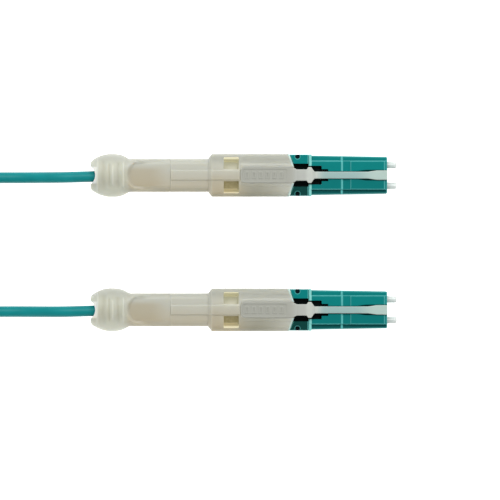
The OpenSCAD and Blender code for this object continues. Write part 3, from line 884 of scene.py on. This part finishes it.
def make_boot():
    """One soft moulding: ball grip, scooped neck with its rib, and the sleeve with its two windows."""
    back_edge, front_edge = 0.35, 0.14
    quarter = [math.pi / 2 * i / 4 for i in range(5)]
    rings = [
        boot_ring(BOOT_BACK + back_edge * (1 - math.cos(a)), back_edge * (1 - math.sin(a))) for a in quarter
    ]
    stops = span(BOOT_BACK + 0.45, SCOOP_X + 1.8, 0.1) + span(SCOOP_X + 1.8, STEP_X - 0.25, 0.3)
    stops += span(STEP_X - 0.25, STEP_X + 0.25, 0.05) + span(STEP_X + 0.25, SHOULDER_X - 0.5, 0.5)
    stops += span(SHOULDER_X - 0.5, SHOULDER_X + 0.6, 0.1) + span(SHOULDER_X + 0.6, PLATE_BACK - 0.35, 0.5)
    stops += span(PLATE_BACK - 0.35, PLATE_BACK + 0.15, 0.05) + span(PLATE_BACK + 0.15, CORNER_X - 0.2, 0.5)
    rings += [boot_ring(x) for x in stops]
    rings += [
        boot_ring(CORNER_X - front_edge * (1 - math.cos(a)), front_edge * (1 - math.sin(a)))
        for a in reversed(quarter)
    ]
    boot = loft(rings)
    hollow = corner_ring(SLEEVE_W - 2 * WALL, SLEEVE_H - 2 * WALL, 0.4)
    crimp_back = ends("crimp_ring_a")[0]
    tail_room, bore = 1.8, (CABLE_D + 0.5) / 2
    mouth = bore + 0.35
    cut(
        boot,
        loft([[(x, y, AXIS_Z + z) for y, z in hollow] for x in (SHOULDER_X + 1.2, BOOT_FRONT + 1)]),
        lathe([(crimp_back - 1.4, tail_room), (SHOULDER_X + 1.3, tail_room)]),
        lathe([(BOOT_BACK - 1, mouth), (BOOT_BACK + 0.9, mouth), (BOOT_BACK + 1.4, bore),
               (crimp_back - 1.3, bore)]),
        pegs(circle_plan(BOOT_BACK - 1.0, 0, 1.9), [(-1, 0), (SLEEVE_H + 1, 0)]),
    )
    for side in (1, -1):
        y0, y1 = sorted((side * 1.1, side * 3.25))
        outline = rounded_plan(WINDOW_X, WINDOW_X + WINDOW_L, y0, y1, 0.15)
        cut(boot, hole(outline, SLEEVE_H - 2, SLEEVE_H))
    bed = rounded_plan(PLATE_BACK - SNUG, BOOT_FRONT + 2, -PLATE_W / 2 - SNUG, PLATE_W / 2 + SNUG, 0.62)
    return finished(cut(boot, hole(bed, SLEEVE_H - 0.5, BOOT_TOP - 0.1, 0.06)))


# ---------------------------------------------------------------- the release arm

FRAME_LOW = place("plug_frame_a")[0][2]
FRAME_TOP = AXIS_Z + 3.2
SPINE_W = 1.28
SPINE_END_W = 1.74
SPINE_LOW = FRAME_TOP - 1.0
SPINE_TOP = SPINE_LOW + 1.5
TAPER_X = NOSE_X - 3.5
FIELD_DEPTH = 0.12
PLATE_MARKS = 6


def make_arm():
    """The label plate, the cross lug and the long spine, in one stiff moulding."""
    under = FRAME_TOP + 0.05
    plate_front = BOOT_FRONT - 1.35
    plan = rounded_plan(PLATE_BACK, BOOT_FRONT + 0.05, -PLATE_W / 2, PLATE_W / 2, 0.6)
    arm = pegs(plan, [(SLEEVE_H - 0.5, 0), (BOOT_TOP - 0.1, 0), (BOOT_TOP - 0.03, -0.03), (BOOT_TOP, -0.1)])
    join(arm, bar([
        (BOOT_FRONT - 0.6, PLATE_W - 0.1, under, BOOT_TOP - 0.02),
        (BOOT_FRONT - 0.1, PLATE_W - 0.1, under, BOOT_TOP - 0.04),
        (BOOT_FRONT + 0.45, 2.08, under, SLEEVE_H), (SPLIT_X - 0.35, 2.08, under, SLEEVE_H),
        (SPLIT_X - 0.05, 2.9, under, SLEEVE_H), (SPLIT_X + 0.5, 2.9, under, SLEEVE_H),
        (SPLIT_X + 0.85, 1.9, under - 0.1, SLEEVE_H - 0.05),
        (SPLIT_X + 1.1, SPINE_W, SPINE_LOW, SPINE_TOP + 0.2),
        (SPLIT_X + 1.6, SPINE_W, SPINE_LOW, SPINE_TOP), (TAPER_X, SPINE_W, SPINE_LOW, SPINE_TOP),
        (TAPER_X + 1.6, SPINE_END_W, SPINE_LOW, SPINE_TOP), (NOSE_X, SPINE_END_W, SPINE_LOW, SPINE_TOP),
    ], 0.17))
    foot_x = ends("return_spring_a")[1] + SNUG
    join(arm, block(foot_x, foot_x + 0.78, 1.1, AXIS_Z + 1.65, FRAME_TOP + 0.3, 0.08))
    field = rounded_plan(PLATE_BACK + 0.3, plate_front, -PLATE_W / 2 + 0.32, PLATE_W / 2 - 0.32, 0.45)
    cut(arm, hole(field, BOOT_TOP - FIELD_DEPTH, BOOT_TOP, 0.05))
    pitch = (plate_front - PLATE_BACK - 0.9) / PLATE_MARKS
    for i in range(PLATE_MARKS):
        x = PLATE_BACK + 0.75 + pitch * i
        mark = rounded_plan(x, x + 0.62 * pitch, -0.7, 0.7, 0.2)
        join(arm, pegs(mark, [(BOOT_TOP - 0.3, 0), (BOOT_TOP - 0.06, 0), (BOOT_TOP, -0.06)]))
        slot = rounded_plan(x + 0.21 * pitch, x + 0.41 * pitch, -0.35, 0.35, 0.1)
        cut(arm, pegs(slot, [(BOOT_TOP - FIELD_DEPTH, 0), (BOOT_TOP + 1, 0)]))
    return finished(arm)


# ---------------------------------------------------------------- the aqua housing

TONGUE_X = ends("rear_housing_a")[1] + SNUG
STOP_X = ends("flange_left_a")[1] + SNUG
POCKET_LOW = AXIS_Z + 1.5
FRAME_W, NOSE_W, RAILS_W, RIM_W = 7.18, 6.7, 5.3, 7.56
TONGUE_W, TONGUE_H = 2 * HALF_PITCH + 2.2, 3.4
NOSE_BORE_R, SPRING_BORE_R = 1.17, 1.2


def make_frame():
    """The front body: two rails on a tapering block, with a rim behind and a stop face across the strips."""
    strips = FRAME_TOP - 0.6
    body = bar([(SPLIT_X, FRAME_W, FRAME_LOW, strips), (NOSE_X, NOSE_W, FRAME_LOW, strips)], 0.22)
    join(
        body,
        block(SPLIT_X + 0.1, NOSE_X - 0.02, RAILS_W, AXIS_Z, FRAME_TOP - 0.1, 0.16),
        block(SPLIT_X + 0.13, SPLIT_X + BREAK_BACK, RAILS_W - 0.04, AXIS_Z + 0.1, FRAME_TOP + 0.1, 0.2),
        block(SPLIT_X + BREAK_FRONT, NOSE_X - 0.45, RAILS_W - 0.08, AXIS_Z + 0.2, FRAME_TOP + 0.1, 0.18),
        block(SPLIT_X + 0.01, SPLIT_X + RIM_L, RIM_W, FRAME_LOW + 0.02, FRAME_TOP, 0.12),
        block(SPLIT_X + RIDGE_BACK, SPLIT_X + RIDGE_FRONT, 6.96, AXIS_Z - 0.2, strips + 0.22, 0.12),
    )
    slot_low, slot_high = SPINE_LOW - 0.08, FRAME_TOP + 3.3
    cut(
        body,
        block(SPLIT_X - 1, SPLIT_X + 2.4, 3.4, POCKET_LOW, FRAME_TOP + 3, 0.06),
        block(SPLIT_X - 1.1, SPLIT_X + 3.6, 2.2, POCKET_LOW + 0.02, FRAME_TOP + 3.1, 0.06),
        block(SPLIT_X - 1.2, NOSE_X + 1, SPINE_W + 0.2, SPINE_LOW - 0.1, FRAME_TOP + 3.2, 0.05),
        bar([
            (TAPER_X - 2.1, SPINE_W + 0.18, slot_low, slot_high),
            (TAPER_X - 0.4, SPINE_END_W + 0.2, slot_low, slot_high),
            (NOSE_X + 1.1, SPINE_END_W + 0.2, slot_low, slot_high),
        ], 0.05),
        block(SPLIT_X - 1.3, TONGUE_X, TONGUE_W + 2 * SNUG, AXIS_Z - TONGUE_H / 2 - SNUG,
              AXIS_Z + TONGUE_H / 2 + SNUG, 0.1),
    )
    for side in SIDES.values():
        y = side * HALF_PITCH
        cut(
            body,
            lathe([(TONGUE_X - 0.2, SPRING_BORE_R), (STOP_X, SPRING_BORE_R)], y),
            block(TONGUE_X - 0.3, STOP_X - 0.01, 1.5, AXIS_Z - 1.75, AXIS_Z + 1.75, 0.05, y),
            lathe([(STOP_X - 0.3, NOSE_BORE_R), (NOSE_X - 0.14, NOSE_BORE_R), (NOSE_X + 0.1, 1.41),
                   (NOSE_X + 1, 1.41)], y),
        )
    return finished(body)


def make_housing():
    """The rear housing: a slanted collar that shows, the core that the sleeve slides on, and the tongue."""
    core_back = ends("rear_housing_a")[0]
    front = SPLIT_X - SNUG
    low, high = AXIS_Z - COLLAR_HALF_H, COLLAR_TOP
    half, bevel = 3.75, 0.18
    side_x, mid_x = CORNER_X + 0.1, BOOT_FRONT + 0.1
    plan = [(front, -half), (front, half), (side_x, half), (mid_x, PLATE_W / 2), (mid_x, -PLATE_W / 2),
            (side_x, -half)]
    body = pegs(plan, [(low, -bevel), (low + bevel, 0), (high - bevel, 0), (high, -bevel)])
    core_w = SLEEVE_W - 2 * WALL - 0.24
    core_h = SLEEVE_H - 2 * WALL - 0.24
    join(
        body,
        bar([(core_back, core_w, AXIS_Z - core_h / 2, AXIS_Z + core_h / 2),
             (mid_x + 0.3, core_w, AXIS_Z - core_h / 2, AXIS_Z + core_h / 2)], 0.35),
        block(mid_x, TONGUE_X - SNUG, TONGUE_W, AXIS_Z - TONGUE_H / 2, AXIS_Z + TONGUE_H / 2, 0.12),
    )
    cut(
        body,
        block(CORNER_X - 1.92, SPLIT_X, 4.2, POCKET_LOW, SLEEVE_H + 2, 0.1),
        block(CORNER_X - 3.2, CORNER_X + 1, 1.7, POCKET_LOW + 0.02, SLEEVE_H + 2.1, 0.1),
        block(core_back + 2, SPLIT_X - 1.4, 2 * HALF_PITCH + 1.6, AXIS_Z - 1.2, AXIS_Z + 1.2, 0.2),
        lathe([(core_back - 1, 1.62), (core_back + 2.1, 1.62)]),
    )
    for side in SIDES.values():
        cut(
            body,
            lathe([(SPLIT_X - 1.5, 0.72), (TONGUE_X + 0.5, 0.72)], side * HALF_PITCH),
            hole(circle_plan(SPLIT_X - MARK_BACK, side * MARK_OUT, 0.42), high - 1.2, high, 0.13),
        )
    return finished(body)


# ---------------------------------------------------------------- ferrules, springs and fibres

FERRULE_R = 0.625
FLANGE_L = 2.2
TAIL_R, HEAD_R, GROOVE_R = 0.6, 1.08, 0.98
FIBRE_R = 0.125


def make_ferrule():
    """Polished ceramic, with a narrower root and a domed, chamfered tip."""
    back, tip = ends("ferrule_left_a")
    root_r = 0.45
    profile = [(back, root_r - 0.05), (back + 0.05, root_r), (STOP_X, root_r), (STOP_X + 0.01, 0.58)]
    profile += [(STOP_X + 0.06, FERRULE_R), (tip - 0.36, FERRULE_R), (tip - 0.28, 0.61), (tip - 0.2, 0.575)]
    profile += [(tip - 0.07, 0.45), (tip - 0.02, 0.34), (tip, 0.14)]
    return finished(lathe(profile, sides=56))


def make_flange():
    """Turned tail and keyed head, bored for the fibre and the ferrule."""
    back, front = ends("flange_left_a")
    head = front - FLANGE_L
    profile = [(back, 0.52), (back + 0.08, TAIL_R), (head, TAIL_R), (head + 0.02, 1.0), (head + 0.1, HEAD_R)]
    profile += [(front - 0.5, HEAD_R), (front - 0.42, GROOVE_R), (front - 0.3, GROOVE_R)]
    profile += [(front - 0.22, HEAD_R), (front - 0.08, HEAD_R), (front, 1.0)]
    flange = lathe(profile, sides=56)
    join(flange, block(head + 0.03, front - 0.02, 1.2, AXIS_Z - 1.6, AXIS_Z + 1.6, 0.12))
    ferrule_back = ends("ferrule_left_a")[0]
    cut(flange, lathe([(ferrule_back - 0.02, 0.47), (front + 1, 0.47)]))
    return finished(cut(flange, lathe([(back - 1, 0.3), (ferrule_back + 0.5, 0.3)])))


def make_spring(x0, x1, r, z, turns, wire):
    """A compression spring with its end coils closed up."""
    steps = 22
    count = turns * steps
    free = (x1 - x0 - 2.3 * wire) / (turns - 2)
    path = []
    for i in range(count + 1):
        turn = i / steps
        inner = min(max(turn - 1, 0), turns - 2)
        closed = min(turn, 1) + max(turn - turns + 1, 0)
        x = x0 + wire / 2 + closed * 0.65 * wire + inner * free
        a = 2 * math.pi * turn
        path.append((x, r * math.cos(a), z + r * math.sin(a)))
    return finished(sweep(path, wire / 2, 10, (1, 0, 0)))


def make_fibre(side):
    """From the end of the cable through the post, spreading out to its ferrule."""
    start, finish = side * 0.35, side * HALF_PITCH
    back, end = ends("fibre_left_a")
    core_back = ends("rear_housing_a")[0]
    x0, x1 = core_back + 4, TONGUE_X - 2.8
    steps = 16
    points = [(back + (core_back - back) * i / 3, start, AXIS_Z) for i in range(4)]
    for i in range(steps + 1):
        ease = (1 - math.cos(math.pi * i / steps)) / 2
        points.append((x0 + (x1 - x0) * i / steps, start + (finish - start) * ease, AXIS_Z))
    return finished(sweep(points + [(end, finish, AXIS_Z)], FIBRE_R, 12))


# ---------------------------------------------------------------- the crimp

POST_R, POST_BORE_R, COLLAR_R, COLLAR_L = 1.6, 0.9, 2.3, 0.8
YARN_R, YARN_BORE_R = 2.03, 1.63
CRIMP_TAIL, CRIMP_TAIL_R, CRIMP_WALL = 3.5, 1.6, 0.62
CABLE_HOLE_R = 1.02


def make_post():
    """Turned metal, with barbs under the yarn and a collar against the housing."""
    back, front = ends("back_post_a")
    collar = ends("aramid_yarn_a")[1] + SNUG
    collar_end = collar + COLLAR_L
    profile = [(back, 1.5), (back + 0.1, POST_R)]
    for x in span(back + 0.5, collar - 0.3, 0.36):
        profile += [(x, POST_R), (x + 0.06, 1.5), (x + 0.3, POST_R)]
    profile += [(collar, POST_R), (collar, 2.22), (collar + 0.08, COLLAR_R), (collar_end - 0.08, COLLAR_R)]
    profile += [(collar_end, 2.22), (collar_end, POST_R), (front - 0.08, POST_R), (front, 1.52)]
    profile += [(front, POST_BORE_R), (back, POST_BORE_R)]
    return finished(lathe(profile, closed=True, sides=56))


def make_yarn():
    """Yarn laid back along the post, strand beside strand."""
    x0, x1 = ends("aramid_yarn_a")

    def strands(x, r, a):
        return 1 - 0.035 * abs(math.sin(16 * a + 0.7 * x)) if r > 1.8 else 1

    profile = [(x0, 1.95)] + [(x, YARN_R) for x in span(x0 + 0.1, x1 - 0.1, 0.4)]
    profile += [(x1, 1.95), (x1, YARN_BORE_R), (x0, YARN_BORE_R)]
    return finished(lathe(profile, closed=True, sides=128, shape=strands))


def make_crimp():
    """The brass ring, closed on the yarn in a hexagonal die, with a tail on the cable."""
    low, high = place("crimp_ring_a")
    x0, x1 = low[0], high[0]
    shoulder = x0 + CRIMP_TAIL
    outer = (high[2] - low[2]) / 2
    inner = outer - CRIMP_WALL

    def hexagon(x, r, a):
        struck = smooth(x, shoulder + 0.75, shoulder + 1.0) * smooth(x, x1 - 0.75, x1 - 1.0)
        flat = math.cos(math.pi / 6) / math.cos(a % (math.pi / 3) - math.pi / 6)
        return 1 - struck * 0.75 * (1 - flat)

    profile = [(x0, 1.5), (x0 + 0.1, CRIMP_TAIL_R), (shoulder - 0.1, CRIMP_TAIL_R), (shoulder, 1.7)]
    profile += [(shoulder, outer - 0.15), (shoulder + 0.15, outer)]
    profile += [(x, outer) for x in span(shoulder + 0.7, x1 - 0.6, 0.07)]
    profile += [(x1 - 0.12, outer), (x1, outer - 0.1), (x1, inner), (shoulder + CRIMP_WALL, inner)]
    profile += [(shoulder + CRIMP_WALL, CABLE_HOLE_R), (x0, CABLE_HOLE_R)]
    return finished(lathe(profile, closed=True, sides=72, shape=hexagon))


COIL_HOLE_R = 10.4
TAPE_HALF_W, TAPE_T, TAPE_LAPPED_T = 3.6, 0.44, 0.66


def make_tie(turned):
    """A strap of hook-and-loop tape round the coil, doubled over where it closes on top."""
    low, high = place("cord_coil")
    coil_w = (high[0] - low[0]) / 2 - COIL_HOLE_R
    coil_h = high[2] - low[2]
    mid_r, mid_z = COIL_HOLE_R + coil_w / 2, (high[2] + low[2]) / 2
    path = corner_ring(coil_w + 0.06, coil_h + 0.06, 1.03, 6)
    across = 6
    rings = []
    for k, (py, pz) in enumerate(path):
        ty, tz = np.subtract(path[(k + 1) % len(path)], path[k - 1])
        ny, nz = -tz / math.hypot(ty, tz), ty / math.hypot(ty, tz)
        thick = TAPE_LAPPED_T if pz > 0 and py > -coil_w / 2 + 1.5 else TAPE_T
        ring = []
        for depth, order in ((thick, 1), (0.0, -1)):
            for i in range(across + 1)[::order]:
                s = TAPE_HALF_W * (2 * i / across - 1)
                edge = 0.12 if abs(s) > TAPE_HALF_W - 0.01 and depth else 0
                r = mid_r + py + ny * (depth - edge)
                a = math.radians(turned) + s / r
                z = mid_z + pz + nz * (depth - edge)
                ring.append((COIL_CENTRE[0] + r * math.cos(a), r * math.sin(a), z))
        rings.append(ring)
    return finished(loft(rings, closed=True))


# ---------------------------------------------------------------- putting the pieces in place

SPRING_R, SPRING_WIRE, SPRING_TURNS = 0.9, 0.24, 7
RETURN_R, RETURN_WIRE, RETURN_TURNS, RETURN_UP = 0.6, 0.2, 6, 2.3


def squeeze(piece, length, travel):
    """Gives a spring its own copy of its mesh; how far it would shorten towards its fixed end as its joint
    moves is worked out and not used.
    """
    (length - travel) / length
    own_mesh(piece)


def build_plugs():
    """Makes each shape once and puts a copy of it in both plugs."""
    single = {
        "pull_boot": (make_boot(), "boot_plastic"),
        "release_arm": (make_arm(), "arm_plastic"),
        "plug_frame": (make_frame(), "aqua_plastic"),
        "rear_housing": (make_housing(), "aqua_plastic"),
        "back_post": (make_post(), "post_metal"),
        "aramid_yarn": (make_yarn(), "aramid"),
        "crimp_ring": (make_crimp(), "crimp_brass"),
    }
    joints = frame["record"]["behaviour"]["joints"]
    travel = {joint["name"]: max(abs(end) for end in joint["range_m"]) / MM for joint in joints}
    head_x = ends("flange_left_a")[1] - FLANGE_L
    ferrule_spring = make_spring(
        TONGUE_X + SNUG, head_x - SNUG, SPRING_R, AXIS_Z, SPRING_TURNS, SPRING_WIRE,
    )
    return_x0, return_x1 = ends("return_spring_a")
    return_spring = make_spring(
        return_x0, return_x1, RETURN_R, AXIS_Z + RETURN_UP, RETURN_TURNS, RETURN_WIRE,
    )
    ferrule, flange = make_ferrule(), make_flange()
    fibres = {side: make_fibre(sign) for side, sign in SIDES.items()}
    for plug in PLUGS:
        for name, (made, slot) in single.items():
            body = f"boot_{plug}" if name in ("pull_boot", "release_arm") else SHELLS
            put(made, f"{name}_{plug}", body, slot, plug)
        pull = f"boot_pull_{plug}"
        spring = put(return_spring, f"return_spring_{plug}", SHELLS, "spring_steel", plug)
        squeeze(spring, return_x1 - return_x0, travel[pull])
        for side, sign in SIDES.items():
            core = f"{side}_{plug}"
            push = f"ferrule_push_{core}"
            shift = sign * HALF_PITCH
            put(ferrule, f"ferrule_{core}", f"ferrule_{core}", "zirconia", plug, shift)
            put(flange, f"flange_{core}", f"ferrule_{core}", "flange_metal", plug, shift)
            spring = put(ferrule_spring, f"ferrule_spring_{core}", SHELLS, "spring_steel", plug, shift)
            squeeze(spring, head_x - TONGUE_X, travel[push])
            put(fibres[side], f"fibre_{core}", SHELLS, "fibre", plug)
    scratch = [made for made, _ in single.values()]
    scratch += [ferrule_spring, return_spring, ferrule, flange, *fibres.values()]
    for made in scratch:
        bpy.data.objects.remove(made)


def build_ties():
    """The two straps, on opposite sides of the coil."""
    ties = []
    for node, turned in (("coil_tie_front", 0), ("coil_tie_back", 180)):
        strap = make_tie(turned)
        ties.append(put(strap, node, SHELLS, "tie_fabric"))
        bpy.data.objects.remove(strap)
    return ties


build_plugs()
make_cord(build_ties())


# ---------------------------------------------------------------- studio

def make_light(name, location, size, power, target=(0, 0, 0)):
    """A soft rectangular light, in metres and watts."""
    data = bpy.data.lights.new(name, "AREA")
    data.shape = "RECTANGLE"
    data.size, data.size_y = size
    data.energy = power
    light = bpy.data.objects.new(name, data)
    bpy.context.scene.collection.objects.link(light)
    light.location = location
    light.rotation_mode = "QUATERNION"
    light.rotation_quaternion = (Vector(target) - Vector(location)).to_track_quat("-Z", "Y")


def make_studio():
    """A white table, even light from all round and one soft lamp."""
    mesh = bpy.data.meshes.new("floor")
    half = 1.5
    corners = [(-half, -half, 0), (half, -half, 0), (half, half, 0), (-half, half, 0)]
    mesh.from_pydata(corners, [], [(0, 1, 2, 3)])
    floor = bpy.data.objects.new("floor", mesh)
    bpy.context.scene.collection.objects.link(floor)
    paint = bpy.data.materials.new("white_floor")
    paint.use_nodes = True
    shader = paint.node_tree.nodes["Principled BSDF"]
    shader.inputs["Base Color"].default_value = (0.6, 0.6, 0.6, 1)
    shader.inputs["Roughness"].default_value = 0.9
    shader.inputs["Emission Color"].default_value = (1, 1, 1, 1)
    shader.inputs["Emission Strength"].default_value = 1.0
    floor.data.materials.append(paint)
    world = bpy.data.worlds.new("room")
    bpy.context.scene.world = world
    world.use_nodes = True
    world.node_tree.nodes["Background"].inputs["Color"].default_value = (1, 1, 1, 1)
    world.node_tree.nodes["Background"].inputs["Strength"].default_value = 0.46
    make_light("key", (0.0, 0.24, 0.45), (0.5, 0.25), 1.9)
    bpy.context.scene.view_settings.view_transform = "Standard"


make_studio()

bpy.context.view_layer.update()
